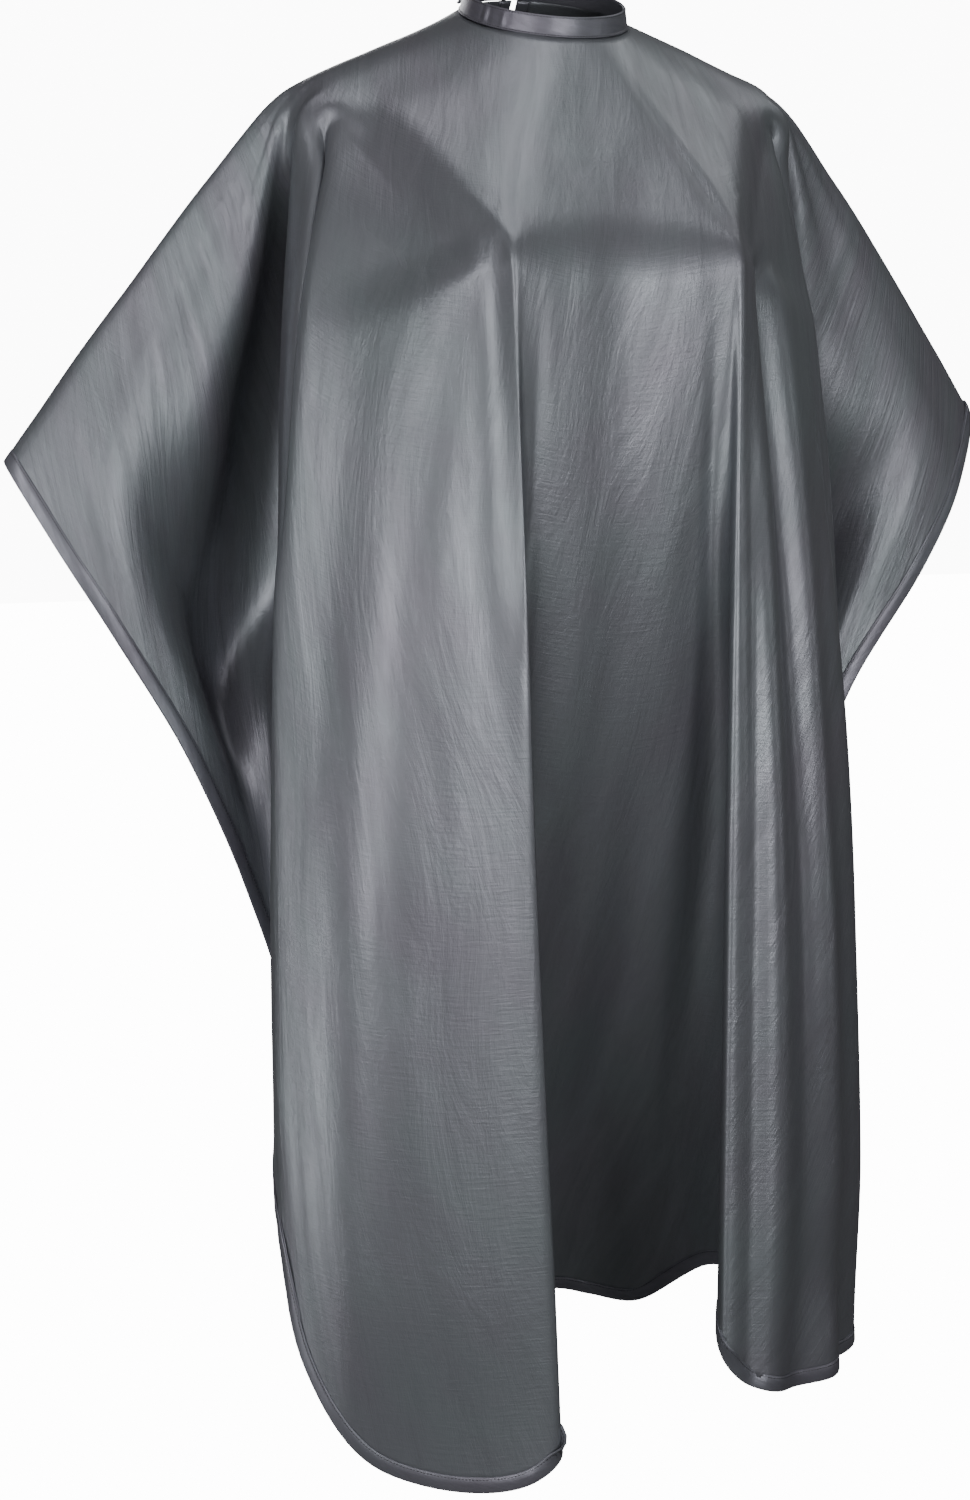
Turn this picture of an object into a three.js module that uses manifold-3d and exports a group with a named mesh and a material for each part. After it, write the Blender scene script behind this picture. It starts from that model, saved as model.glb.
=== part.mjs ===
// A salon cape in its worn shape: one sheet of coated taffeta that hangs from a closed neckband,
// runs over the shoulders and two half-raised arms, folds over the chest line and falls in two
// front folds with a recess between them. The neckband closes at the nape with press studs.
// Millimetres, +Z up, the wearer faces -Y. The origin is the centre of the neck seam.

import * as THREE from 'three';
import { mergeVertices } from 'three/addons/utils/BufferGeometryUtils.js';
import Module from 'manifold-3d';

const wasm = await Module();
wasm.setup();

// ---------------------------------------------------------------- driving dimensions

const CLOTH = 2.4;              // modelled thickness of the sheet
const GAP = 0.35;               // clearance between pieces that lie on each other

const NECK_RADIUS = 66;         // neck seam, centre of the band
const NECK_TILT = 17;           // degrees, the nape sits higher than the throat
const BAND_HEIGHT = 17;
const BAND_LEAN = 13;           // degrees, the band leans in towards the neck
const BAND_PLY = 0.5;           // each of the three plies of the band and the tab

const SHOULDER_REACH = 213;     // centre to the top of the shoulder
const SHOULDER_DROP = 56;
const ARM_REACH = 420;          // centre to the wing tip
const ARM_DROP = 334;
const ARM_BACK = 60;            // the arms are held a little behind the neck
const CHEST_HALF = 95;          // centre to each chest point
const CHEST_DROP = 186;
const CHEST_FORWARD = 174;
const FRONT_DROP = 1078;        // neck to the lowest front hem
const RECESS_DROP = 1022;       // neck to the hem in the middle recess
const SIDE_REACH = 235;         // centre to the side fold
const BACK_DROP = 320;          // neck to the hem at the centre of the back

const BINDING_WIDTH = 9;
const BINDING_PLY = 1;
const BINDING_GAP = 0.7;        // clearance between the sheet and its binding
const EDGE_ROW = 10;            // width of the sheet's outermost row, just over the binding
const EVEN_OUT = 3;             // neighbours on each side that an edge direction is evened out over

const SOCKET_COUNT = 5;
const STUD_SOCKETS = [1, 3];    // which sockets the two studs are pressed into
const SOCKET_PITCH = 12.3;
const SNAP_RADIUS = 4.5;
const SNAP_SIDES = 16;

// ---------------------------------------------------------------- materials

const finish = (color, roughness, metalness) =>
  new THREE.MeshStandardMaterial({ color, roughness, metalness });
const taffeta = finish(0x6e7478, 0.45, 0);
const satin = finish(0x575a60, 0.4, 0);
const interfacing = finish(0xd8d8d4, 0.9, 0);
const nickel = finish(0xb8babd, 0.3, 1);

// ---------------------------------------------------------------- small helpers

const vec = (x, y, z) => new THREE.Vector3(x, y, z);
const radians = THREE.MathUtils.degToRad;
const mix = THREE.MathUtils.lerp;
const smooth = THREE.MathUtils.smoothstep;

function closedGeometry(positions, triangles) {
  const geometry = new THREE.BufferGeometry();
  geometry.setAttribute('position', new THREE.Float32BufferAttribute(positions.flat(), 3));
  geometry.setIndex(triangles.flat());
  return geometry;
}

// A solid swept through a list of cross-sections, each the same closed loop of points. Sides
// named in crossed are cut along their other diagonal.
function loft(sections, crossed = []) {
  const size = sections[0].length;
  const positions = sections.flat().map((p) => [p.x, p.y, p.z]);
  const triangles = [];
  for (let s = 0; s < sections.length - 1; s++) {
    for (let k = 0; k < size; k++) {
      const a = s * size + k;
      const b = s * size + ((k + 1) % size);
      if (crossed.includes(k)) triangles.push([a, b, a + size], [b, b + size, a + size]);
      else triangles.push([a, b, b + size], [a, b + size, a + size]);
    }
  }
  const last = (sections.length - 1) * size;
  for (const [a, b, c] of THREE.ShapeUtils.triangulateShape(flatLoop(sections[0]), [])) {
    triangles.push([a, c, b], [last + a, last + b, last + c]);
  }
  return outward(closedGeometry(positions, triangles));
}

// The loop's points in their own plane, which the end caps are triangulated in.
function flatLoop(loop) {
  const across = loop[1].clone().sub(loop[0]).normalize();
  const normal = vec(0, 0, 0);
  for (let k = 0; k < loop.length; k++) normal.add(loop[k].clone().cross(loop[(k + 1) % loop.length]));
  const up = normal.normalize().cross(across);
  return loop.map((p) => new THREE.Vector2(p.dot(across), p.dot(up)));
}

// Turns every face over if the solid came out inside out.
function outward(geometry) {
  const at = geometry.attributes.position;
  const index = geometry.index.array;
  let volume = 0;
  for (let i = 0; i < index.length; i += 3) {
    const [a, b, c] = [0, 1, 2].map((k) => new THREE.Vector3().fromBufferAttribute(at, index[i + k]));
    volume += a.dot(b.cross(c));
  }
  if (volume < 0) {
    for (let i = 0; i < index.length; i += 3) [index[i], index[i + 1]] = [index[i + 1], index[i]];
  }
  return geometry;
}

function solid(geometry) {
  const bare = geometry.clone();
  bare.deleteAttribute('normal');
  bare.deleteAttribute('uv');
  const merged = mergeVertices(bare, 1e-4);
  return new wasm.Manifold(new wasm.Mesh({
    numProp: 3,
    vertProperties: new Float32Array(merged.attributes.position.array),
    triVerts: new Uint32Array(merged.index.array),
  }));
}

function fromSolid(body) {
  const mesh = body.getMesh();
  const geometry = new THREE.BufferGeometry();
  geometry.setAttribute('position', new THREE.BufferAttribute(mesh.vertProperties, 3));
  geometry.setIndex(new THREE.BufferAttribute(mesh.triVerts, 1));
  return geometry;
}

const cape = new THREE.Group();
const collar = new THREE.Group();
collar.rotation.x = radians(NECK_TILT);
cape.add(collar);

function add(group, name, geometry, material) {
  const mesh = new THREE.Mesh(geometry, material);
  mesh.name = name;
  group.add(mesh);
  return mesh;
}

// ---------------------------------------------------------------- neckband

// Heading is the angle round the neck from the throat, growing towards the wearer's left (+X).
// Rise is measured up the leaning band, and out is measured square to it.
function bandPoint(heading, out, rise) {
  const turn = radians(heading);
  const lean = radians(BAND_LEAN);
  const radius = NECK_RADIUS + out * Math.cos(lean) - rise * Math.sin(lean);
  const z = out * Math.sin(lean) + rise * Math.cos(lean);
  return vec(radius * Math.sin(turn), -radius * Math.cos(turn), z);
}

// A ply of cloth round the neck; lift(heading) raises it off the band where it overlaps.
function bandPly(from, to, steps, level, lift = () => 0) {
  const sections = [];
  for (let i = 0; i <= steps; i++) {
    const heading = mix(from, to, i / steps);
    const inner = level + lift(heading);
    const outer = inner + BAND_PLY;
    sections.push([
      bandPoint(heading, inner, 0),
      bandPoint(heading, outer, 0),
      bandPoint(heading, outer, BAND_HEIGHT),
      bandPoint(heading, inner, BAND_HEIGHT),
    ]);
  }
  return loft(sections);
}

// A round solid standing square to the band; its profile is [radius, height] pairs.
function snapPart(heading, out, profile) {
  const points = profile.map(([radius, height]) => new THREE.Vector2(radius, height));
  const geometry = new THREE.LatheGeometry([...points, points[0]], SNAP_SIDES);
  const foot = bandPoint(heading, out, BAND_HEIGHT / 2);
  const axis = bandPoint(heading, out + 1, BAND_HEIGHT / 2).sub(foot);
  geometry.applyQuaternion(new THREE.Quaternion().setFromUnitVectors(vec(0, 1, 0), axis));
  geometry.translate(foot.x, foot.y, foot.z);
  return outward(geometry);
}

const PLY_STEP = BAND_PLY + GAP;
const BAND_LEVELS = { lining: 0, stay: PLY_STEP, shell: 2 * PLY_STEP };
const BAND_OUTSIDE = 2 * PLY_STEP + BAND_PLY;

const SOCKET_THICK = 1.2;
const STUD_FLANGE = 0.7;
const STUD_REACH = 1.1;
const TAB_LIFT = BAND_OUTSIDE + GAP + SOCKET_THICK + GAP + STUD_FLANGE + 1.5 * GAP;

const degreesFor = (length) => THREE.MathUtils.radToDeg(length / NECK_RADIUS);
const TAB_ROOT = 176;                              // the band's left end, where the tab begins
const UNDERLAP_START = TAB_ROOT + degreesFor(12);  // the band's right end, under the tab
const FIRST_SOCKET = UNDERLAP_START + degreesFor(9);
const socketHeading = (k) => FIRST_SOCKET + k * degreesFor(SOCKET_PITCH);
const TAB_END = socketHeading(STUD_SOCKETS[1]) + degreesFor(8);

const SOCKET_BORE = 2.6;
const POST_TUBE = 3.2;
const STUD_HEAD = 1.8;
const CAP_SHANK = 1.5;
const HOLE_CLEARANCE = 0.4;

function punched(ply, headings, radius) {
  let body = solid(ply);
  for (const heading of headings) {
    const punch = snapPart(heading, -3, [[0, 0], [radius, 0], [radius, 16], [0, 16]]);
    body = body.subtract(solid(punch));
  }
  return fromSolid(body);
}

const socketHeadings = Array.from({ length: SOCKET_COUNT }, (_, k) => socketHeading(k));
const studHeadings = STUD_SOCKETS.map(socketHeading);

for (const [ply, level] of Object.entries(BAND_LEVELS)) {
  const band = bandPly(UNDERLAP_START - 360, TAB_ROOT, 60, level);
  const material = ply === 'stay' ? interfacing : satin;
  const cut = punched(band, socketHeadings, POST_TUBE + HOLE_CLEARANCE);
  add(collar, `neckband_${ply}`, cut, material);
}

const tabLift = (heading) => TAB_LIFT * smooth(heading, TAB_ROOT, UNDERLAP_START - 1);
for (const [ply, level] of Object.entries(BAND_LEVELS)) {
  const tab = bandPly(TAB_ROOT + degreesFor(GAP), TAB_END, 14, level, tabLift);
  const material = ply === 'stay' ? interfacing : satin;
  add(collar, `closure_tab_${ply}`, punched(tab, studHeadings, CAP_SHANK + HOLE_CLEARANCE), material);
}

for (let k = 0; k < SOCKET_COUNT; k++) {
  const heading = socketHeading(k);
  add(collar, `snap_socket_${k + 1}`, snapPart(heading, BAND_OUTSIDE + GAP, [
    [SOCKET_BORE, 0],
    [SNAP_RADIUS, 0],
    [SNAP_RADIUS, 0.7 * SOCKET_THICK],
    [SNAP_RADIUS - 0.5, SOCKET_THICK],
    [SOCKET_BORE, SOCKET_THICK],
  ]), nickel);
  const flangeTop = -2 * GAP;
  add(collar, `snap_post_${k + 1}`, snapPart(heading, 0, [
    [SOCKET_BORE, flangeTop - 0.6],
    [SNAP_RADIUS, flangeTop - 0.6],
    [SNAP_RADIUS, flangeTop],
    [POST_TUBE, flangeTop],
    [POST_TUBE, BAND_OUTSIDE],
    [SOCKET_BORE, BAND_OUTSIDE],
  ]), nickel);
}

const studSeat = TAB_LIFT - 1.5 * GAP;
studHeadings.forEach((heading, k) => {
  add(collar, `snap_stud_${k + 1}`, snapPart(heading, studSeat, [
    [0, 0],
    [SNAP_RADIUS, 0],
    [SNAP_RADIUS, -STUD_FLANGE],
    [STUD_HEAD, -STUD_FLANGE],
    [STUD_HEAD, -STUD_FLANGE - 0.7 * STUD_REACH],
    [STUD_HEAD - 0.4, -STUD_FLANGE - STUD_REACH],
    [0, -STUD_FLANGE - STUD_REACH],
  ]), nickel);
  const capSeat = TAB_LIFT + BAND_OUTSIDE + GAP;
  add(collar, `snap_cap_${k + 1}`, snapPart(heading, capSeat, [
    [0, studSeat + GAP - capSeat],
    [CAP_SHANK, studSeat + GAP - capSeat],
    [CAP_SHANK, 0],
    [SNAP_RADIUS + 0.5, 0],
    [SNAP_RADIUS, 0.5],
    [SNAP_RADIUS / 2, 0.9],
    [0, 1],
  ]), nickel);
});

// ---------------------------------------------------------------- the sheet

// Each rib is a line of the draped cloth from the neck seam, over the yoke line where the body
// carries it, down to the hem. Ribs are given for the wearer's left side, from the throat round
// to the nape, and mirrored. Heading places the rib on the neck seam. Round is the length of
// cloth that turns over the yoke line. Sway is the part of the sideways travel that is done
// early (below 1) or late (above 1) on the way down. Bow pushes the middle of the fall out.
// Uneven is how far the hem sits towards the wearer's right on both sides, and how much lower
// it is on the right and higher on the left.
const ribs = [
  { heading: 0, yoke: [0, -168, -181], hem: [0, 25, -RECESS_DROP], round: 14, sway: 1.9 },
  { heading: 6, yoke: [34, -170, -182],
     hem: [50, 20, -RECESS_DROP - 28], round: 14, sway: 1.8, uneven: [2, 20] },
  { heading: 11, yoke: [60, -172, -183],
     hem: [90, -5, -RECESS_DROP - 30], round: 14, sway: 1.6, uneven: [3, 24] },
  { heading: 15, yoke: [74, -173, -184],
     hem: [97, -75, -RECESS_DROP + 8], round: 14, sway: 1.4, uneven: [3, 26] },
  { heading: 19, yoke: [86, -174, -185],
     hem: [84, -150, -RECESS_DROP + 12], round: 14, sway: 1.2, uneven: [4, 27] },
  {
    heading: 24,
    yoke: [CHEST_HALF, -CHEST_FORWARD, -CHEST_DROP],
    hem: [63, -211, -FRONT_DROP + 31],
    round: 14,
    sway: 1,
    uneven: [4, 28],
  },
  { heading: 29, yoke: [103, -166, -184],
     hem: [88, -215, -FRONT_DROP + 8], round: 20, sway: 1, bow: [4, 0, 0], uneven: [6, 27] },
  { heading: 38, yoke: [120, -146, -170],
     hem: [140, -203, -FRONT_DROP], round: 45, sway: 0.9, bow: [14, -4, 0], uneven: [10, 23] },
  { heading: 48, yoke: [142, -116, -146],
     hem: [198, -168, -FRONT_DROP + 12], round: 60, sway: 0.6, bow: [10, -10, 0], uneven: [14, 14] },
  {
    heading: 58,
    yoke: [168, -82, -118],
    hem: [SIDE_REACH - 4, -122, -FRONT_DROP + 50],
    round: 60,
    sway: 0.4,
    bow: [0, -4, 0],
    uneven: [16, -14],
  },
  {
    heading: 70,
    yoke: [SHOULDER_REACH - 15, -34, -77],
    hem: [SIDE_REACH, -85, -920],
    round: 36,
    sway: 0.24,
    bow: [3, 0, 0],
    uneven: [17, -10],
  },
  {
    heading: 75,
    yoke: [SHOULDER_REACH - 8, -21, -68],
    hem: [SIDE_REACH - 18, -26, -866],
    round: 36,
    sway: 0.35,
    bow: [16, -34, 0],
    uneven: [14, 0],
  },
  {
    heading: 80,
    yoke: [SHOULDER_REACH - 4, -12, -63],
    hem: [SIDE_REACH - 30, 10, -774],
    round: 34,
    sway: 0.5,
    bow: [6, 20, 0],
    uneven: [8, 10],
  },
  { heading: 84, yoke: [SHOULDER_REACH - 2, -5, -60],
     hem: [240, 16, -665], round: 34, sway: 0.8, bow: [2, 34, 0], uneven: [4, 14] },
  { heading: 88, yoke: [SHOULDER_REACH, 0, -58],
     hem: [288, 18, -560], round: 34, sway: 1, bow: [0, 28, 0], uneven: [4, 15] },
  { heading: 92, yoke: [SHOULDER_REACH, 4, -57],
     hem: [350, 22, -467], round: 34, sway: 1, bow: [0, 20, 0], uneven: [0, 15] },
  { heading: 96, yoke: [SHOULDER_REACH, 8, -57],
     hem: [393, 34, -395], round: 34, sway: 1, bow: [4, 6, 4], uneven: [0, 15] },
  {
    heading: 101,
    yoke: [SHOULDER_REACH, 13, -SHOULDER_DROP],
    hem: [ARM_REACH, ARM_BACK, -ARM_DROP],
    round: 34,
    sway: 1,
    bow: [4, 0, 3],
    uneven: [4, 15],
  },
  { heading: 108, yoke: [SHOULDER_REACH - 4, 24, -57],
     hem: [376, 90, -376], round: 40, sway: 1, bow: [4, 10, 3], uneven: [4, 15] },
  { heading: 118, yoke: [190, 46, -57],
     hem: [288, 146, -460], round: 50, sway: 1, bow: [0, 10, 0], uneven: [4, 12] },
  { heading: 130, yoke: [158, 72, -58],
     hem: [222, 180, -508], round: 60, sway: 1, bow: [0, 8, 0], uneven: [4, 10] },
  { heading: 146, yoke: [106, 94, -54],
     hem: [146, 168, -430], round: 60, sway: 1, bow: [0, 6, 0], uneven: [4, 8] },
  { heading: 162, yoke: [56, 104, -46],
     hem: [74, 160, -358], round: 60, sway: 1, bow: [0, 4, 0], uneven: [4, 4] },
  { heading: 177, yoke: [5, 108, -40], hem: [9, 142, -BACK_DROP], round: 60, sway: 1 },
];

const SEAM_RISE = -1.6;          // the sheet's neck edge lies just under the band
const SEAM_OUT = BAND_OUTSIDE / 2;
const tilt = new THREE.Euler(radians(NECK_TILT), 0, 0);

const neckSeam = (heading) => bandPoint(heading, SEAM_OUT, SEAM_RISE).applyEuler(tilt);

// The part of the sideways travel that is done at a share of the fall.
const travel = (share, sway) => (sway < 1 ? 1 - (1 - share) ** (1 / sway) : share ** sway);

// A point of a rib: fall runs 0 to 1 from the neck to the yoke line and 1 to 2 on to the hem.
function ribPoint(rib, side, fall) {
  const neck = neckSeam(side * rib.heading);
  const place = ([x, y, z]) => vec(side * x, y, z);
  const yoke = place(rib.yoke);
  const [shift, slant] = rib.uneven ?? [0, 0];
  const hem = place(rib.hem).add(vec(-shift, 0, side * slant));
  const bow = place(rib.bow ?? [0, 0, 0]);
  const drop = (share) => {
    const sideways = travel(share, rib.sway);
    const bulge = 4 * share * (1 - share);
    const point = vec(mix(yoke.x, hem.x, sideways), mix(yoke.y, hem.y, sideways), mix(yoke.z, hem.z, share));
    return point.addScaledVector(bow, bulge);
  };
  const above = neck.distanceTo(yoke);
  const below = yoke.distanceTo(hem);
  const before = 1 - Math.min(0.8, rib.round / above);
  const after = 1 + Math.min(0.5, rib.round / below);
  if (fall <= before) return neck.lerp(yoke, fall);
  if (fall >= after) return drop(fall - 1);
  const s = (fall - before) / (after - before);
  const start = neck.lerp(yoke, before);
  return start.multiplyScalar((1 - s) ** 2)
    .add(yoke.clone().multiplyScalar(2 * s * (1 - s)))
    .add(drop(after - 1).multiplyScalar(s ** 2));
}

const allRibs = [
  ...ribs.map((rib) => ({ rib, side: -1 })).reverse(),
  ...ribs.slice(1).map((rib) => ({ rib, side: 1 })),
];
const FALLS = [0, 0.22, 0.45, 0.68, 0.86, 0.96, 1.02, 1.07, 1.15, 1.27, 1.42, 1.58, 1.74, 1.88];
const STEPS_PER_RIB = 3;

// Rows of points from the neck to the hem, each row running from one slit edge to the other.
const columns = (allRibs.length - 1) * STEPS_PER_RIB;
const rows = [...FALLS, 2].map((fall) => {
  const through = allRibs.map(({ rib, side }) => ribPoint(rib, side, fall));
  const curve = new THREE.CatmullRomCurve3(through, false, 'centripetal');
  return Array.from({ length: columns + 1 }, (_, i) => curve.getPoint(i / columns));
});

// The outermost row and the columns beside the slit are just wider than the binding, and lie
// square in from the edge, in directions evened out over their neighbours.
const stepAlong = (edge, i) => {
  const next = edge[Math.min(i + 1, edge.length - 1)];
  return next.clone().sub(edge[Math.max(i - 1, 0)]).normalize();
};
function inwardFrom(edge, inner) {
  const square = edge.map((p, i) => inner[i].clone().sub(p).projectOnPlane(stepAlong(edge, i)).normalize());
  return square.map((_, i) => {
    const total = vec(0, 0, 0);
    square.slice(Math.max(i - EVEN_OUT, 0), i + EVEN_OUT + 1).forEach((direction) => total.add(direction));
    return total.projectOnPlane(stepAlong(edge, i)).normalize();
  });
}
const hemRow = rows.at(-1);
const hemInward = inwardFrom(hemRow, rows.at(-2));
rows.splice(-1, 0, hemRow.map((edge, c) => edge.clone().addScaledVector(hemInward[c], EDGE_ROW)));
for (const [edge, beside, inner] of [[0, 1, 2], [columns, columns - 1, columns - 2]]) {
  const slitEdge = rows.map((row) => row[edge]);
  const slitInward = inwardFrom(slitEdge, rows.map((row) => row[inner]));
  rows.forEach((row, r) => { row[beside] = slitEdge[r].clone().addScaledVector(slitInward[r], EDGE_ROW); });
}

const lastRow = rows.length - 1;
const gridPoint = (r, c) => rows[THREE.MathUtils.clamp(r, 0, lastRow)][THREE.MathUtils.clamp(c, 0, columns)];

// Both sides of an edge row share the edge's own normal, so the binding lies flat on it.
function gridNormal(row, column) {
  if (row >= lastRow - 1) {
    const inward = gridPoint(lastRow - 1, column).clone().sub(gridPoint(lastRow, column));
    return stepAlong(hemRow, column).cross(inward).normalize();
  }
  const nearSlit = { 1: 0, [columns - 1]: columns };
  const c = nearSlit[column] ?? column;
  const along = gridPoint(row, c + 1).clone().sub(gridPoint(row, c - 1));
  const down = gridPoint(row + 1, c).clone().sub(gridPoint(row - 1, c));
  return down.cross(along).normalize();
}

function sheetSolid() {
  const width = columns + 1;
  const count = rows.length * width;
  const positions = [];
  for (const side of [0.5, -0.5]) {
    for (let r = 0; r < rows.length; r++) {
      for (let c = 0; c < width; c++) {
        const p = gridPoint(r, c).clone().addScaledVector(gridNormal(r, c), side * CLOTH);
        positions.push([p.x, p.y, p.z]);
      }
    }
  }
  const triangles = [];
  for (let r = 0; r < rows.length - 1; r++) {
    for (let c = 0; c < columns; c++) {
      const a = r * width + c;
      triangles.push([a, a + width, a + width + 1], [a, a + width + 1, a + 1]);
      const b = a + count;
      triangles.push([b, b + width + 1, b + width], [b, b + 1, b + width + 1]);
    }
  }
  const border = [];
  for (let c = 0; c < columns; c++) border.push(c);
  for (let r = 0; r < rows.length - 1; r++) border.push(r * width + columns);
  for (let c = columns; c > 0; c--) border.push((rows.length - 1) * width + c);
  for (let r = rows.length - 1; r > 0; r--) border.push(r * width);
  border.forEach((a, k) => {
    const b = border[(k + 1) % border.length];
    triangles.push([a, b, b + count], [a, b + count, a + count]);
  });
  return outward(closedGeometry(positions, triangles));
}

add(cape, 'cape_panel', sheetSolid(), taffeta);

// ---------------------------------------------------------------- edge binding

// The channel section of a folded binding at one point of the sheet's edge.
function bindingSection(edge, inner, normal) {
  const inward = inner.clone().sub(edge).normalize();
  const inside = CLOTH / 2 + BINDING_GAP;
  const outside = inside + BINDING_PLY;
  const at = (depth, height) => edge.clone().addScaledVector(inward, depth).addScaledVector(normal, height);
  return [
    at(BINDING_WIDTH, outside),
    at(-BINDING_GAP - BINDING_PLY, outside),
    at(-BINDING_GAP - BINDING_PLY, -outside),
    at(BINDING_WIDTH, -outside),
    at(BINDING_WIDTH, -inside),
    at(-BINDING_GAP, -inside),
    at(-BINDING_GAP, inside),
    at(BINDING_WIDTH, inside),
  ];
}

const SLIT_END = 0.5;            // the slit bindings stop this far above the hem binding's row
const UPPER_INSIDE = 6;          // the side of the channel whose diagonals must follow the sheet's
const hemSections = Array.from({ length: columns + 1 }, (_, c) => (
  bindingSection(gridPoint(lastRow, c), gridPoint(lastRow - 1, c), gridNormal(lastRow, c))
));
add(cape, 'hem_binding', loft(hemSections, [UPPER_INSIDE]), satin);

for (const [name, edge, inner] of [['right', 0, 1], ['left', columns, columns - 1]]) {
  const sections = [];
  for (let r = 0; r < lastRow; r++) {
    let [outer, inside] = [gridPoint(r, edge), gridPoint(r, inner)];
    if (r === lastRow - 1) {
      const down = gridPoint(lastRow, edge).clone().sub(outer).setLength(EDGE_ROW - BINDING_WIDTH - SLIT_END);
      [outer, inside] = [outer, inside].map((p) => p.clone().add(down));
    }
    sections.push(bindingSection(outer, inside, gridNormal(r, edge)));
  }
  add(cape, `slit_binding_${name}`, loft(sections), satin);
}

export default cape;
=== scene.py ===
import math

import bpy
import numpy as np
from bpy.props import FloatProperty, FloatVectorProperty, IntProperty, PointerProperty
from mathutils import Euler, Matrix, Vector, noise


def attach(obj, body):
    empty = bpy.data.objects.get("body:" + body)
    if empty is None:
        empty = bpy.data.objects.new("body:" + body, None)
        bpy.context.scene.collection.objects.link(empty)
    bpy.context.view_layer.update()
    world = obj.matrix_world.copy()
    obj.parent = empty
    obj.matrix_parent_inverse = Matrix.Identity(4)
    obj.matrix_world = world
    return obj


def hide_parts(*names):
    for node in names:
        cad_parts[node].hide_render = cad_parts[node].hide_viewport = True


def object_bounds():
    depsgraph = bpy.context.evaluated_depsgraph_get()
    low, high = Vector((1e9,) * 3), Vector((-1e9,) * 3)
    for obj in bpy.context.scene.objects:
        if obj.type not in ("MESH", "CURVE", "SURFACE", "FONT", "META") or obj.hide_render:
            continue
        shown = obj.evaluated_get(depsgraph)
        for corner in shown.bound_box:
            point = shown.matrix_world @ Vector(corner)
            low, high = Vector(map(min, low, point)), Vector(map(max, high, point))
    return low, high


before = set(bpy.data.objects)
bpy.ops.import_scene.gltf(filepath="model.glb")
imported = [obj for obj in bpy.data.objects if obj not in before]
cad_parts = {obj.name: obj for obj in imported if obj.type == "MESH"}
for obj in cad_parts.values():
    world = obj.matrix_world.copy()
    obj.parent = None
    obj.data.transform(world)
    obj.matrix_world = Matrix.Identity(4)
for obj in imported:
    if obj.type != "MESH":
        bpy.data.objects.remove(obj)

bl_info = {
    "name": "Salon Cape Workshop",
    "version": (1, 0, 0),
    "blender": (4, 5, 0),
    "location": "3D View > Sidebar > Salon Cape",
    "description": "Cuts, drapes, binds and fastens a salon cape around its packed frame",
    "category": "Object",
}

MM = 0.001
CAD_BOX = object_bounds()


# ---------------------------------------------------------------------------- sizes and colours


class CapeSheetSettings(bpy.types.PropertyGroup):
    """The one large sheet of coated taffeta"""

    flat_width: FloatProperty(
        name="Flat width", description="Width that the sheet was cut to", default=1.20, unit="LENGTH"
    )
    flat_length: FloatProperty(
        name="Flat length", description="Length that the sheet was cut to", default=1.50, unit="LENGTH"
    )
    flat_area: FloatProperty(
        name="Flat area", description="Area less neck hole and round corners", default=1.75, unit="AREA"
    )
    thickness: FloatProperty(
        name="Thickness", description="Thickness of the coated cloth", default=0.0005, unit="LENGTH"
    )
    columns_per_rib: IntProperty(
        name="Columns per rib", description="Mesh columns between two ribs of the drape", default=9
    )
    crinkle: FloatProperty(
        name="Crinkle", description="Height of the soft creases in the cloth", default=0.0012, unit="LENGTH"
    )


class EdgeTapeSettings(bpy.types.PropertyGroup):
    """The folded satin tape that binds every edge"""

    width: FloatProperty(
        name="Tape width", description="Visible width of the folded tape", default=0.0108, unit="LENGTH"
    )
    fullness: FloatProperty(
        name="Fullness", description="Half thickness of the folded tape", default=0.0011, unit="LENGTH"
    )
    pucker: FloatProperty(
        name="Pucker", description="Height of the puckers along the tape", default=0.0004, unit="LENGTH"
    )
    stitch_length: FloatProperty(
        name="Stitch length", description="Length of one stitch", default=0.0026, unit="LENGTH"
    )
    thread: FloatProperty(
        name="Thread", description="Thickness of the sewing thread", default=0.00055, unit="LENGTH"
    )


class NeckbandSettings(bpy.types.PropertyGroup):
    """The band that closes round the neck, and its tab"""

    neck_radius: FloatProperty(
        name="Neck radius", description="Radius of the neck seam", default=0.066, unit="LENGTH"
    )
    tilt: FloatProperty(
        name="Tilt",
        description="How far the nape sits above the throat",
        default=math.radians(17),
        subtype="ANGLE",
    )
    lean: FloatProperty(
        name="Lean", description="How far the band leans in", default=math.radians(13), subtype="ANGLE"
    )
    height: FloatProperty(
        name="Band height", description="Height of the band", default=0.017, unit="LENGTH"
    )
    crinkle: FloatProperty(
        name="Gathers",
        description="Height of the small gathers near the throat",
        default=0.0011,
        unit="LENGTH",
    )


class CapeColourSettings(bpy.types.PropertyGroup):
    """The colours of the cloth, tape, thread and metal"""

    cloth: FloatVectorProperty(
        name="Cloth", description="Main colour of the taffeta", default=(0.21, 0.232, 0.25), subtype="COLOR"
    )
    tape: FloatVectorProperty(
        name="Tape", description="Colour of the satin tape", default=(0.2, 0.212, 0.24), subtype="COLOR"
    )
    thread: FloatVectorProperty(
        name="Thread",
        description="Colour of the sewing thread",
        default=(0.015, 0.016, 0.018),
        subtype="COLOR",
    )
    stiffener: FloatVectorProperty(
        name="Stiffener",
        description="Colour of the stiffener in the band",
        default=(0.7, 0.7, 0.67),
        subtype="COLOR",
    )
    metal: FloatVectorProperty(
        name="Metal", description="Colour of the press studs", default=(0.72, 0.73, 0.74), subtype="COLOR"
    )


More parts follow.
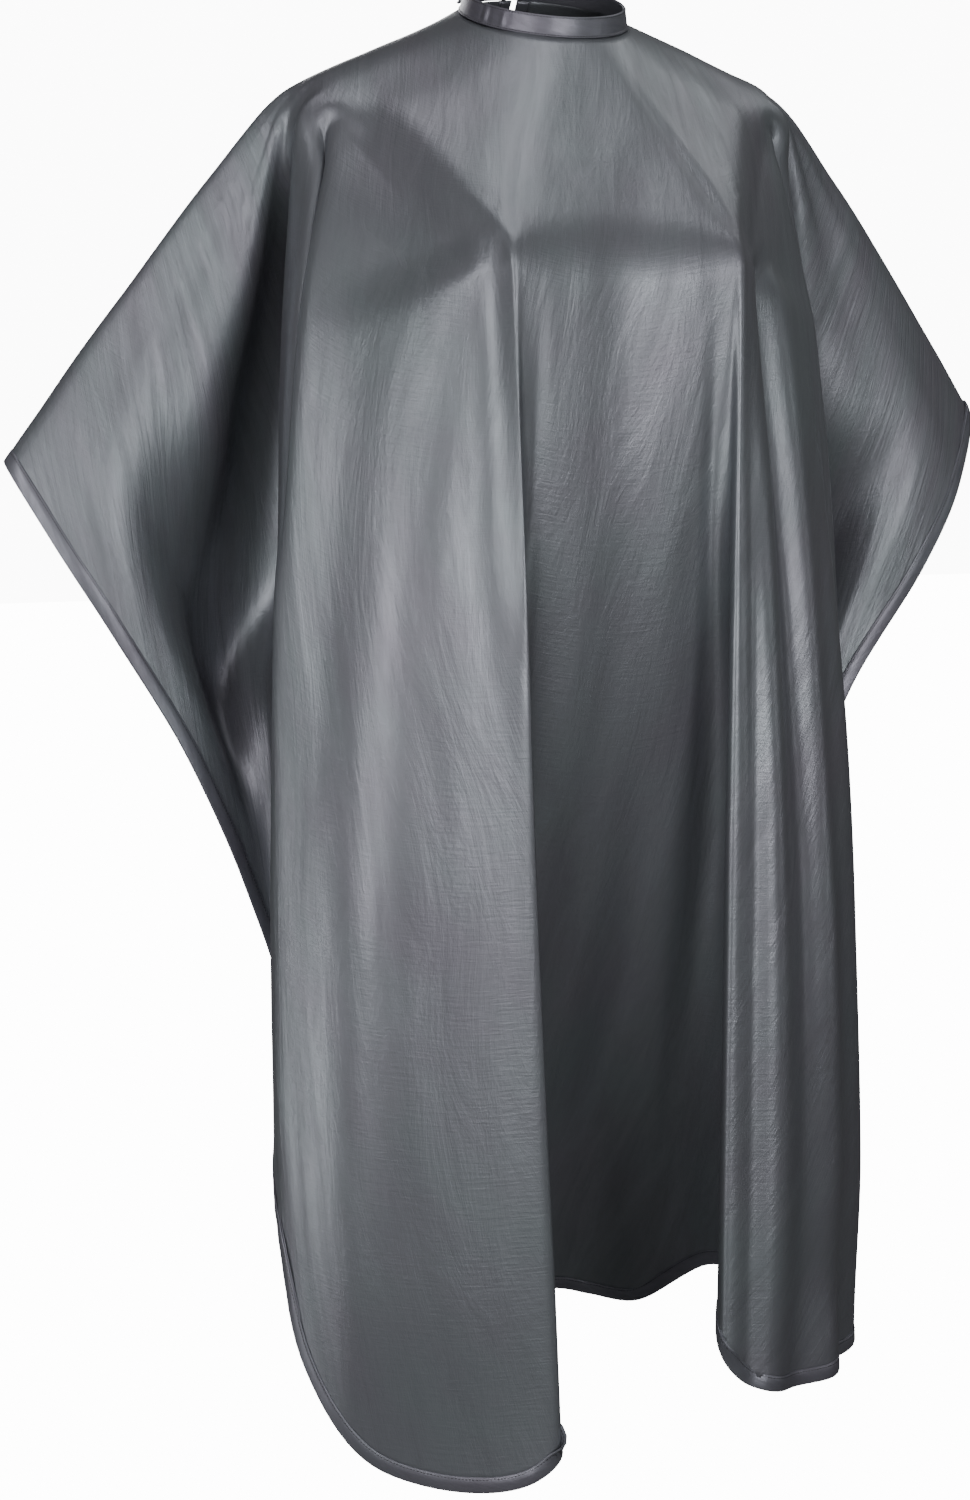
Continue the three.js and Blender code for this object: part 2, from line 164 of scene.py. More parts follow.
class StudioSettings(bpy.types.PropertyGroup):
    """The camera, floor and lights"""

    azimuth: FloatProperty(
        name="Azimuth",
        description="Turn of the camera round the cape",
        default=math.radians(-22),
        subtype="ANGLE",
    )
    distance: FloatProperty(
        name="Distance", description="Camera to the neck axis", default=3.0, unit="LENGTH"
    )
    camera_drop: FloatProperty(
        name="Camera drop", description="Camera below the neck", default=0.222, unit="LENGTH"
    )
    lens: FloatProperty(name="Lens", description="Focal length in millimetres", default=90.0)
    shift_x: FloatProperty(name="Shift across", description="Sideways shift of the frame", default=-0.0387)
    shift_y: FloatProperty(name="Shift down", description="Downward shift of the frame", default=-0.302)
    room_light: FloatProperty(name="Room light", description="Light from all round", default=0.10)
    backdrop_light: FloatProperty(name="Backdrop", description="Brightness of the backdrop", default=14.0)
    floor_gap: FloatProperty(
        name="Floor gap", description="Hem to floor", default=0.35, unit="LENGTH"
    )


SETTINGS = {
    "cape_sheet": CapeSheetSettings,
    "edge_tape": EdgeTapeSettings,
    "neckband": NeckbandSettings,
    "cape_colours": CapeColourSettings,
    "studio": StudioSettings,
}


# ---------------------------------------------------------------------------- the drape's ribs

# Millimetres, the same design as the solid sheet.
SHOULDER_REACH = 213
SHOULDER_DROP = 56
ARM_REACH = 420
ARM_DROP = 334
ARM_BACK = 60
CHEST_HALF = 95
CHEST_DROP = 186
CHEST_FORWARD = 174
FRONT_DROP = 1078
RECESS_DROP = 1022
SIDE_REACH = 235
BACK_DROP = 320

# The sheet ends inside the neckband, this far above the seam line and outside the inner ply.
SEAM_RISE = 0.4
SEAM_OUT = 1.1

# Sideways and up: where the chest fold leaves the shoulder, and where it reaches the chest point.
FOLD_TOP = (165, -55)
FOLD_FOOT = (95, -188)

# Each rib is a line of the draped cloth from the neck seam, over the yoke line, down to the hem:
# heading on the neck seam in degrees, yoke point, hem point, length that turns over the yoke
# line, sway, bow, and how far the hem sits to the wearer's right and lower on that side.
RIBS = [
    (0, (0, -168, -181), (0, 25, -RECESS_DROP), 34, 2.3, (0, 0, 0), (0, 0)),
    (6, (34, -170, -182), (50, 20, -RECESS_DROP - 28), 34, 2.2, (0, 0, 0), (2, 20)),
    (11, (60, -172, -183), (90, -5, -RECESS_DROP - 30), 30, 1.9, (0, 0, 0), (3, 24)),
    (15, (74, -173, -184), (97, -75, -RECESS_DROP + 8), 26, 1.5, (0, 0, 0), (3, 26)),
    (19, (86, -174, -185), (84, -150, -RECESS_DROP + 12), 20, 1.25, (0, 0, 0), (4, 27)),
    (24, (CHEST_HALF, -CHEST_FORWARD, -CHEST_DROP), (63, -211, -FRONT_DROP + 31), 14, 1, (0, 0, 0), (4, 28)),
    (29, (103, -166, -184), (88, -215, -FRONT_DROP + 8), 20, 1, (4, 0, 0), (6, 27)),
    (38, (120, -146, -170), (140, -203, -FRONT_DROP), 45, 0.9, (14, -4, 0), (10, 23)),
    (48, (142, -116, -146), (198, -168, -FRONT_DROP + 12), 60, 0.6, (10, -10, 0), (14, 14)),
    (58, (168, -82, -118), (SIDE_REACH - 4, -122, -FRONT_DROP + 50), 60, 0.4, (0, -4, 0), (16, -14)),
    (70, (SHOULDER_REACH - 15, -34, -77), (SIDE_REACH, -85, -920), 36, 0.24, (3, 0, 0), (17, -10)),
    (75, (SHOULDER_REACH - 8, -21, -68), (SIDE_REACH - 18, -26, -866), 36, 0.35, (16, -34, 0), (14, 0)),
    (80, (SHOULDER_REACH - 4, -12, -63), (SIDE_REACH - 30, 10, -774), 34, 0.5, (6, 20, 0), (8, 10)),
    (84, (SHOULDER_REACH - 2, -5, -60), (240, 16, -665), 34, 0.8, (2, 34, 0), (4, 14)),
    (88, (SHOULDER_REACH, 0, -58), (288, 18, -560), 34, 1, (0, 28, 0), (4, 15)),
    (92, (SHOULDER_REACH, 4, -57), (350, 22, -467), 34, 1, (0, 20, 0), (0, 15)),
    (96, (SHOULDER_REACH, 8, -57), (393, 34, -395), 34, 1, (4, 6, 4), (0, 15)),
    (101, (SHOULDER_REACH, 13, -SHOULDER_DROP), (ARM_REACH, ARM_BACK, -ARM_DROP), 34, 1, (4, 0, 3), (4, 15)),
    (108, (SHOULDER_REACH - 4, 24, -57), (376, 90, -376), 40, 1, (4, 10, 3), (4, 15)),
    (118, (190, 46, -57), (288, 146, -460), 50, 1, (0, 10, 0), (4, 12)),
    (130, (158, 72, -58), (222, 180, -508), 60, 1, (0, 8, 0), (4, 10)),
    (146, (106, 94, -54), (146, 168, -430), 60, 1, (0, 6, 0), (4, 8)),
    (162, (56, 104, -46), (74, 160, -358), 60, 1, (0, 4, 0), (4, 4)),
    (177, (5, 108, -40), (9, 142, -BACK_DROP), 60, 1, (0, 0, 0), (0, 0)),
]


def band_point(heading, out, rise):
    """A point of the leaning neckband, in metres, before the neck's tilt."""
    band = bpy.context.scene.neckband
    radius = band.neck_radius + out * math.cos(band.lean) - rise * math.sin(band.lean)
    height = out * math.sin(band.lean) + rise * math.cos(band.lean)
    turn = math.radians(heading)
    return Vector((radius * math.sin(turn), -radius * math.cos(turn), height))


def tilted(point):
    """Turns a point of the neckband into the cape's own frame."""
    return Matrix.Rotation(bpy.context.scene.neckband.tilt, 3, "X") @ point


def travel(share, sway):
    """Part of the sideways travel that is done at a share of the fall."""
    return 1 - (1 - share) ** (1 / sway) if sway < 1 else share**sway


def rib_point(rib, side, fall):
    """A point of a rib in metres; fall is 0 at the neck, 1 at the yoke line and 2 at the hem."""
    heading, yoke, hem, round_length, sway, bow, (shift, slant) = rib
    neck = tilted(band_point(side * heading, SEAM_OUT * MM, SEAM_RISE * MM))
    yoke = Vector((side * yoke[0], yoke[1], yoke[2])) * MM
    hem = Vector((side * hem[0] - shift, hem[1], hem[2] + side * slant)) * MM
    bow = Vector((side * bow[0], bow[1], bow[2])) * MM

    def drop(share):
        sideways = travel(share, sway)
        point = yoke.lerp(hem, sideways)
        point.z = yoke.z + (hem.z - yoke.z) * share
        return point + bow * (4 * share * (1 - share))

    before = 1 - min(0.8, round_length * MM / (yoke - neck).length)
    after = 1 + min(0.5, round_length * MM / (hem - yoke).length)
    if fall <= before:
        return neck.lerp(yoke, fall)
    if fall >= after:
        return drop(fall - 1)
    s = (fall - before) / (after - before)
    return neck.lerp(yoke, before) * (1 - s) ** 2 + yoke * (2 * s * (1 - s)) + drop(after - 1) * s**2


def all_ribs():
    """Every rib from the right slit edge round the throat to the left slit edge."""
    right = [(rib, -1) for rib in reversed(RIBS)]
    left = [(rib, 1) for rib in RIBS[1:]]
    return right + left


def centripetal(points, samples):
    """Points along a centripetal Catmull-Rom curve; samples counts them between two points."""
    padded = np.vstack([2 * points[0] - points[1], points, 2 * points[-1] - points[-2]])
    spans = np.sqrt(np.linalg.norm(np.diff(padded, axis=0), axis=1))
    spans = np.maximum(spans, 1e-4)
    out = []
    for i in range(1, len(points)):
        p0, p1, p2, p3 = padded[i - 1 : i + 3]
        d0, d1, d2 = spans[i - 1 : i + 2]
        t1 = ((p1 - p0) / d0 - (p2 - p0) / (d0 + d1) + (p2 - p1) / d1) * d1
        t2 = ((p2 - p1) / d1 - (p3 - p1) / (d1 + d2) + (p3 - p2) / d2) * d1
        for k in range(samples):
            t = k / samples
            out.append(
                (2 * t**3 - 3 * t**2 + 1) * p1
                + (t**3 - 2 * t**2 + t) * t1
                + (-2 * t**3 + 3 * t**2) * p2
                + (t**3 - t**2) * t2
            )
    out.append(points[-1])
    return np.array(out)


def fall_rows():
    """The falls of the sheet's rows: close over the yoke line and wider down the front."""
    upper = np.linspace(0, 0.82, 22, endpoint=False)
    turn = np.linspace(0.82, 1.12, 28, endpoint=False)
    lower = np.linspace(1.12, 2.0, 62)
    return np.concatenate([upper, turn, lower])


def draped_grid():
    """The smooth drape as rows of points, and each row's fall and each column's heading."""
    per_rib = bpy.context.scene.cape_sheet.columns_per_rib
    ribs = all_ribs()
    falls = fall_rows()
    rows = []
    for fall in falls:
        through = np.array([rib_point(rib, side, fall) for rib, side in ribs])
        rows.append(centripetal(through, per_rib))
    headings = np.array([side * rib[0] for rib, side in ribs], dtype=float)
    across = np.linspace(0, len(ribs) - 1, rows[0].shape[0])
    column_headings = np.interp(across, np.arange(len(ribs)), headings)
    return ease_yoke(np.array(rows), falls), falls, column_headings


def ease_yoke(grid, falls):
    """Evens the cloth out across the ribs above the yoke line, most near the neck."""
    reach = 3 * bpy.context.scene.cape_sheet.columns_per_rib
    offsets = np.arange(-reach, reach + 1)
    weights = np.exp(-((offsets / (0.5 * reach)) ** 2))
    weights /= weights.sum()
    columns = np.arange(grid.shape[1])
    eased = sum(w * grid[:, np.clip(columns + k, 0, columns[-1])] for w, k in zip(weights, offsets))
    near_slit = np.minimum(columns, columns[-1] - columns) / reach
    share = smooth(falls, 0.02, 0.2)[:, None] * (1 - smooth(falls, 0.72, 0.97))[:, None]
    share = (share * smooth(near_slit, 1.0, 1.6)[None, :])[:, :, None]
    return grid * (1 - share) + eased * share


def grid_normals(grid):
    """Outward unit normals of a grid of points."""
    down = np.gradient(grid, axis=0)
    along = np.gradient(grid, axis=1)
    normals = np.cross(down, along)
    return normals / np.maximum(np.linalg.norm(normals, axis=2, keepdims=True), 1e-9)


def smooth(values, low, high):
    """0 up to low, 1 from high, and smooth between."""
    share = np.clip((values - low) / (high - low), 0, 1)
    return share * share * (3 - 2 * share)


def bump_between(values, low, high, soft):
    """1 between low and high, falling smoothly to 0 over soft on either side."""
    return smooth(values, low - soft, low) * (1 - smooth(values, high, high + soft))


def ridge(values, centre, width):
    """A smooth ridge of height 1 at centre."""
    return np.exp(-(((values - centre) / width) ** 2))


def fold(size, fall, height, at, width, top, foot, soft):
    """A long fold down the cloth on a heading, in metres off the smooth drape; below 0 is a hollow."""
    return height * ridge(size, at, width) * bump_between(fall, top, foot, soft)


def soft_noise(points, scale, seed):
    """Seeded smooth noise at each point of a grid."""
    offset = Vector((seed * 17.3, seed * 5.1, seed * 9.7))
    flat = points.reshape(-1, 3)
    stretched = flat * np.array(scale)
    values = [noise.noise(Vector(p) + offset) for p in stretched]
    return np.array(values).reshape(points.shape[:2])


def cloth_relief(grid, falls, headings):
    """How far the real cloth stands off the smooth drape, in metres."""
    fall = falls[:, None]
    heading = headings[None, :]
    left = np.where(heading > 0, 1.0, 0.0)
    size = np.abs(heading)

    # The chest plane ends in a straight fold from the shoulder down to the chest point.
    beside = np.abs(grid[..., 0]) - FOLD_TOP[0] * MM
    below = grid[..., 2] - FOLD_TOP[1] * MM
    lean = math.atan2(FOLD_TOP[0] - FOLD_FOOT[0], FOLD_TOP[1] - FOLD_FOOT[1])
    inside = -beside * math.cos(lean) + below * math.sin(lean)
    down = -beside * math.sin(lean) - below * math.cos(lean)
    on_fold = bump_between(down, low=0.035, high=0.122, soft=0.035) * (fall < 1.3)
    on_fold = on_fold * bump_between(size, low=29, high=74, soft=6)
    plane = smooth(inside, low=-0.005, high=0.008) * (1 - smooth(inside, low=0.01, high=0.14))
    sunk = smooth(-inside, low=0, high=0.034) * (1 - smooth(-inside, low=0.04, high=0.15))
    relief = (0.0035 * plane - 0.010 * sunk) * on_fold
    # Crease down the side of the front from the shoulder, with a thin ridge behind it.
    relief = relief + fold(size, fall, height=-0.011, at=71, width=2.4, top=0.98, foot=1.30, soft=0.16)
    relief = relief + fold(size, fall, height=0.004, at=78, width=1.8, top=0.98, foot=1.30, soft=0.16)
    # Deep hollow under each arm, with a sharp front edge.
    hollow = 81.4 + 3.0 * smooth(fall, low=1.5, high=1.8)
    wide = np.where(size < hollow, 1.3, 2.6 + 2.8 * smooth(fall, low=1.2, high=1.5))
    relief = relief + fold(size, fall, height=-0.046, at=hollow, width=wide, top=1.22, foot=1.76, soft=0.16)
    # The sleeve-like wing swells behind that hollow.
    wing = hollow + 8.5
    relief = relief + fold(size, fall, height=0.012, at=wing, width=4.0, top=1.25, foot=1.8, soft=0.3)
    # Valley beside each chest point, deeper on the left.
    depth = 0.009 * (1 - left)
    relief = relief + fold(size, fall, height=-depth, at=32, width=6.5, top=1.1, foot=1.2, soft=0.2)
    depth = (0.020 - 0.009 * smooth(fall, low=1.4, high=1.7)) * left
    valley = 42 + 3 * (fall - 1)
    relief = relief + fold(size, fall, height=-depth, at=valley, width=5.0, top=1.06, foot=1.9, soft=0.1)
    # The recess lies well behind both front folds.
    recess_depth = 0.036 - 0.014 * left
    recess_width = 4.8 - 1.6 * left
    relief = relief - recess_depth * ridge(size, 16.5, recess_width) * smooth(fall, low=1.2, high=1.6)
    # Streak folds down the left front, which hangs narrower than the right.
    streaks = np.cos((size - 33) / 6 * math.pi) * bump_between(size, low=31, high=61, soft=4)
    relief = relief + 0.0055 * left * streaks * smooth(fall, low=1.1, high=1.5)
    # Long soft folds in the recess.
    recess = np.sin((heading + 3) / 5.2 * math.pi) * bump_between(size, low=0, high=12, soft=4)
    relief = relief + 0.004 * recess * smooth(fall, low=1.3, high=1.8)
    # The lowest hand's breadth curls in.
    curl = smooth(fall, low=1.84, high=2.0) * bump_between(size, low=38, high=60, soft=16)
    relief = relief - 0.005 * curl
    # Slow unevenness, drawn out along the fall.
    crinkle = bpy.context.scene.cape_sheet.crinkle
    relief = relief + 1.6 * crinkle * soft_noise(grid, (9, 9, 2.2), 1)
    relief = relief + 0.8 * crinkle * soft_noise(grid, (30, 30, 6), 2)
    return relief


def cloth_grid():
    """The finished cloth surface as rows of points."""
    grid, falls, headings = draped_grid()
    normals = grid_normals(grid)
    return grid + normals * cloth_relief(grid, falls, headings)[:, :, None]


# ---------------------------------------------------------------------------- mesh helpers


def new_piece(name, vertices, faces):
    """A mesh object from points and faces."""
    mesh = bpy.data.meshes.new(name)
    mesh.from_pydata([tuple(v) for v in vertices], [], faces)
    mesh.update()
    piece = bpy.data.objects.new(name, mesh)
    bpy.context.scene.collection.objects.link(piece)
    mesh.polygons.foreach_set("use_smooth", [True] * len(mesh.polygons))
    return piece


def only(piece):
    """Selects one object and makes it active."""
    if bpy.context.mode != "OBJECT":
        bpy.ops.object.mode_set(mode="OBJECT")
    bpy.ops.object.select_all(action="DESELECT")
    piece.select_set(True)
    bpy.context.view_layer.objects.active = piece


def apply_modifier(piece, kind, **values):
    """Adds a modifier, sets its values and applies it."""
    only(piece)
    modifier = piece.modifiers.new(kind.title(), kind)
    for key, value in values.items():
        setattr(modifier, key, value)
    bpy.ops.object.modifier_apply(modifier=modifier.name)


def put_on(piece, material, slot, body, *nodes):
    """Gives a piece its material and its body, and hides the nodes it stands for; slot is not used."""
    piece.data.materials.clear()
    piece.data.materials.append(material)
    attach(piece, body)
    if nodes:
        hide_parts(*nodes)


def sweep(name, sections):
    """A closed solid through equal loops of points, with its ends capped."""
    size = len(sections[0])
    vertices = [p for section in sections for p in section]
    faces = []
    for s in range(len(sections) - 1):
        for k in range(size):
            a = s * size + k
            b = s * size + (k + 1) % size
            faces.append((a, b, b + size, a + size))
    faces.append(tuple(reversed(range(size))))
    last = (len(sections) - 1) * size
    faces.append(tuple(range(last, last + size)))
    piece = new_piece(name, vertices, faces)
    only(piece)
    bpy.ops.object.mode_set(mode="EDIT")
    bpy.ops.mesh.select_all(action="SELECT")
    bpy.ops.mesh.normals_make_consistent(inside=False)
    bpy.ops.object.mode_set(mode="OBJECT")
    return piece


# ---------------------------------------------------------------------------- materials


def shader(name):
    """A new node material, its tree and its Principled shader."""
    material = bpy.data.materials.new(name)
    material.use_nodes = True
    tree = material.node_tree
    return material, tree, tree.nodes["Principled BSDF"]


def node(tree, kind, **values):
    """Adds a node and sets its properties and unlinked inputs."""
    made = tree.nodes.new(kind)
    for key, value in values.items():
        if key in made.inputs:
            made.inputs[key].default_value = value
        else:
            setattr(made, key, value)
    return made


def crinkle_group():
    """Shader group: crinkled cloth, from slow mottling down to the weave."""
    group = bpy.data.node_groups.new("Crinkled cloth", "ShaderNodeTree")
    face = group.interface
    face.new_socket("Surface", in_out="INPUT", socket_type="NodeSocketVector")
    face.new_socket("Streak scale", in_out="INPUT", socket_type="NodeSocketFloat")
    face.new_socket("Weave scale", in_out="INPUT", socket_type="NodeSocketFloat")
    face.new_socket("Mottle", in_out="OUTPUT", socket_type="NodeSocketFloat")
    face.new_socket("Streaks", in_out="OUTPUT", socket_type="NodeSocketFloat")
    face.new_socket("Height", in_out="OUTPUT", socket_type="NodeSocketFloat")
    start = group.nodes.new("NodeGroupInput")
    end = group.nodes.new("NodeGroupOutput")
    links = group.links

    mottle = node(group, "ShaderNodeTexNoise", Scale=5.0, Detail=4.0, Roughness=0.6)
    links.new(start.outputs["Surface"], mottle.inputs["Vector"])
    links.new(mottle.outputs["Fac"], end.inputs["Mottle"])

    slanted = node(group, "ShaderNodeMapping", Rotation=(0, 0, math.radians(-14)))
    links.new(start.outputs["Surface"], slanted.inputs["Vector"])
    drawn = node(group, "ShaderNodeVectorMath", operation="MULTIPLY")
    drawn.inputs[1].default_value = (1.0, 0.2, 1.0)
    links.new(slanted.outputs["Vector"], drawn.inputs[0])
    streaks = node(group, "ShaderNodeTexNoise", Detail=7.0, Roughness=0.72, Distortion=0.5)
    links.new(drawn.outputs["Vector"], streaks.inputs["Vector"])
    links.new(start.outputs["Streak scale"], streaks.inputs["Scale"])
    links.new(streaks.outputs["Fac"], end.inputs["Streaks"])

    slub = node(group, "ShaderNodeVectorMath", operation="MULTIPLY")
    slub.inputs[1].default_value = (0.12, 1.0, 1.0)
    links.new(start.outputs["Surface"], slub.inputs[0])
    cross = node(group, "ShaderNodeTexNoise", Detail=3.0, Roughness=0.6)
    links.new(slub.outputs["Vector"], cross.inputs["Vector"])
    links.new(start.outputs["Weave scale"], cross.inputs["Scale"])

    total = node(group, "ShaderNodeMath", operation="MULTIPLY_ADD")
    total.inputs[1].default_value = 0.16
    links.new(cross.outputs["Fac"], total.inputs[0])
    links.new(streaks.outputs["Fac"], total.inputs[2])
    links.new(total.outputs["Value"], end.inputs["Height"])
    return group


def cloth_material(name, colour, tint, streak_scale, weave_scale, roughness, metallic, depth):
    """Crinkled coated cloth in two close colours, with painted shade in the crinkles' troughs and painted
    light on their crests.
    """
    material, tree, principled = shader(name)
    where = node(tree, "ShaderNodeUVMap", uv_map="cloth")
    crinkle = node(tree, "ShaderNodeGroup")
    crinkle.node_tree = bpy.data.node_groups.get("Crinkled cloth") or crinkle_group()
    crinkle.inputs["Streak scale"].default_value = streak_scale
    crinkle.inputs["Weave scale"].default_value = weave_scale
    tree.links.new(where.outputs["UV"], crinkle.inputs["Surface"])

    shade = node(tree, "ShaderNodeMix", data_type="RGBA")
    shade.inputs["A"].default_value = (*colour, 1)
    shade.inputs["B"].default_value = (*tint, 1)
    spread = node(tree, "ShaderNodeMapRange")
    spread.inputs["From Min"].default_value = 0.36
    spread.inputs["From Max"].default_value = 0.66
    tree.links.new(crinkle.outputs["Mottle"], spread.inputs["Value"])
    tree.links.new(spread.outputs["Result"], shade.inputs["Factor"])

    # Painted shade and light: the crinkle streaks that raise the bump also darken the colour in their
    # troughs, down to 0.86, and lighten it on their crests, up to 1.12.
    shaded_colour = node(tree, "ShaderNodeMix", data_type="RGBA", blend_type="MULTIPLY")
    shaded_colour.inputs["Factor"].default_value = 1.0
    crease_shade = node(tree, "ShaderNodeMapRange")
    crease_shade.inputs["From Min"].default_value = 0.3
    crease_shade.inputs["From Max"].default_value = 0.7
    crease_shade.inputs["To Min"].default_value = 0.86
    crease_shade.inputs["To Max"].default_value = 1.12
    tree.links.new(crinkle.outputs["Streaks"], crease_shade.inputs["Value"])
    tree.links.new(shade.outputs["Result"], shaded_colour.inputs["A"])
    tree.links.new(crease_shade.outputs["Result"], shaded_colour.inputs["B"])
    tree.links.new(shaded_colour.outputs["Result"], principled.inputs["Base Color"])

    gloss = node(tree, "ShaderNodeMapRange")
    gloss.inputs["From Min"].default_value = 0.3
    gloss.inputs["From Max"].default_value = 0.7
    gloss.inputs["To Min"].default_value = roughness + 0.05
    gloss.inputs["To Max"].default_value = roughness - 0.05
    tree.links.new(crinkle.outputs["Streaks"], gloss.inputs["Value"])
    tree.links.new(gloss.outputs["Result"], principled.inputs["Roughness"])
    principled.inputs["Metallic"].default_value = metallic

    bump = node(tree, "ShaderNodeBump", Strength=1.0, Distance=depth)
    tree.links.new(crinkle.outputs["Height"], bump.inputs["Height"])
    tree.links.new(bump.outputs["Normal"], principled.inputs["Normal"])
    return material


def tinted(colour, share):
    """A colour at a share of its brightness, a touch more purple."""
    return (colour[0] * share * 1.1, colour[1] * share * 0.98, colour[2] * share * 1.05)


def taffeta():
    """The coated taffeta of the sheet."""
    colour = bpy.context.scene.cape_colours.cloth
    return cloth_material("Coated taffeta", colour, tinted(colour, 0.9), 34, 420, 0.40, 0.6, 0.0009)


def satin_tape():
    """The satin tape of the edges and the neckband."""
    colour = bpy.context.scene.cape_colours.tape
    return cloth_material("Satin tape", colour, tinted(colour, 0.85), 160, 900, 0.4, 0.55, 0.0003)


def stiffener():
    """The white non-woven stiffener inside the band."""
    colour = bpy.context.scene.cape_colours.stiffener
    return cloth_material("Non-woven stiffener", colour, tinted(colour, 0.9), 300, 900, 0.85, 0.0, 0.0003)


def sewing_thread():
    """Dark twisted sewing thread."""
    material, tree, principled = shader("Sewing thread")
    where = node(tree, "ShaderNodeTexCoord")
    twist = node(tree, "ShaderNodeTexNoise", Scale=900.0, Detail=2.0)
    tree.links.new(where.outputs["Object"], twist.inputs["Vector"])
    colour = bpy.context.scene.cape_colours.thread
    ramp = node(tree, "ShaderNodeMix", data_type="RGBA")
    ramp.inputs["A"].default_value = (*colour, 1)
    ramp.inputs["B"].default_value = (*tinted(colour, 1.6), 1)
    tree.links.new(twist.outputs["Fac"], ramp.inputs["Factor"])
    tree.links.new(ramp.outputs["Result"], principled.inputs["Base Color"])
    principled.inputs["Roughness"].default_value = 0.6
    return material


def nickel():
    """Bright nickel plate with fine handling marks."""
    material, tree, principled = shader("Nickel plate")
    where = node(tree, "ShaderNodeTexCoord")
    marks = node(tree, "ShaderNodeTexNoise", Scale=700.0, Detail=6.0, Roughness=0.7)
    tree.links.new(where.outputs["Object"], marks.inputs["Vector"])
    gloss = node(tree, "ShaderNodeMapRange")
    gloss.inputs["To Min"].default_value = 0.16
    gloss.inputs["To Max"].default_value = 0.34
    tree.links.new(marks.outputs["Fac"], gloss.inputs["Value"])
    tree.links.new(gloss.outputs["Result"], principled.inputs["Roughness"])
    colour = bpy.context.scene.cape_colours.metal
    plate = node(tree, "ShaderNodeMix", data_type="RGBA")
    plate.inputs["A"].default_value = (*tinted(colour, 0.88), 1)
    plate.inputs["B"].default_value = (*colour, 1)
    tree.links.new(marks.outputs["Fac"], plate.inputs["Factor"])
    tree.links.new(plate.outputs["Result"], principled.inputs["Base Color"])
    principled.inputs["Metallic"].default_value = 1.0
    return material


MATERIALS = {}


def material(maker):
    """Makes each material once."""
    if maker.__name__ not in MATERIALS:
        MATERIALS[maker.__name__] = maker()
    return MATERIALS[maker.__name__]


# ---------------------------------------------------------------------------- the sheet


def cloth_map(piece, grid):
    """A UV map in metres of cloth: across from the front middle, and down from the neck."""
    down = np.zeros(grid.shape[:2])
    down[1:] = np.cumsum(np.linalg.norm(np.diff(grid, axis=0), axis=2), axis=0)
    across = np.zeros(grid.shape[:2])
    across[:, 1:] = np.cumsum(np.linalg.norm(np.diff(grid, axis=1), axis=2), axis=1)
    across -= across[:, across.shape[1] // 2][:, None]
    layer = piece.data.uv_layers.new(name="cloth")
    corners = np.empty(len(piece.data.loops), dtype=np.int32)
    piece.data.loops.foreach_get("vertex_index", corners)
    flat = np.stack([across.ravel(), down.ravel()], axis=1)
    layer.data.foreach_set("uv", flat[corners].ravel())


def grid_faces(rows, columns):
    """Quads of a grid, facing away from the body."""
    return [
        (r * columns + c, (r + 1) * columns + c, (r + 1) * columns + c + 1, r * columns + c + 1)
        for r in range(rows - 1)
        for c in range(columns - 1)
    ]


class CAPE_OT_sheet(bpy.types.Operator):
    """Drapes the one large sheet of taffeta from the neck seam to the hem"""

    bl_idname = "cape.sheet"
    bl_label = "Drape the sheet"

    def execute(self, context):
        settings = context.scene.cape_sheet
        grid = cloth_grid()
        rows, columns = grid.shape[:2]
        piece = new_piece("cape_sheet", grid.reshape(-1, 3), grid_faces(rows, columns))
        cloth_map(piece, grid)
        apply_modifier(piece, "SOLIDIFY", thickness=settings.thickness, offset=0)
        put_on(piece, material(taffeta), "taffeta", "cape", "cape_panel")
        return {"FINISHED"}


# ---------------------------------------------------------------------------- edge tape

# Points on either side of an edge point that its direction is evened out over.
EASE = 7
# Rows or columns in from an edge, to the point that its inward direction is taken from.
INNER = 3
# Rows short of the hem where the slit's tapes end.
HEM_ROWS = 2
THREAD_SIDES = 6


def evened(directions):
    """Unit directions along an edge, evened out so that the tape eases round its corners."""
    directions = directions / np.linalg.norm(directions, axis=1, keepdims=True)
    offsets = np.arange(-EASE, EASE + 1)
    padded = np.vstack([directions[:1]] * EASE + [directions] + [directions[-1:]] * EASE)
    weights = np.exp(-((offsets / (0.5 * EASE)) ** 2))
    total = sum(w * padded[EASE + k : EASE + k + len(directions)] for w, k in zip(weights, offsets))
    return total / np.linalg.norm(total, axis=1, keepdims=True)


def edge_frames(edge, inner):
    """Edge points with their inward and outward directions, for a row or column of the sheet."""
    along = evened(np.gradient(edge, axis=0))
    inward = evened(inner - edge)
    inward -= along * np.sum(inward * along, axis=1, keepdims=True)
    inward /= np.linalg.norm(inward, axis=1, keepdims=True)
    normal = np.cross(along, inward)
    return edge, inward, normal


def tape_section(width, fullness, ply):
    """Half-round folded tape in (depth, height) pairs: out over the top, round the fold, under."""
    fold = [
        (-fullness * math.sin(math.pi * k / 6), fullness * math.cos(math.pi * k / 6)) for k in range(7)
    ]
    inside = fullness - ply
    upper = [(width, 0.72 * fullness), (0.97 * width, 0.95 * fullness), (0.5 * width, 1.12 * fullness)]
    lower = [(d, -h) for d, h in reversed(upper)]
    return upper + fold + lower + [(width, -0.4 * inside), (0.1 * width, -inside * 0.8),
                                   (0.1 * width, inside * 0.8), (width, 0.4 * inside)]


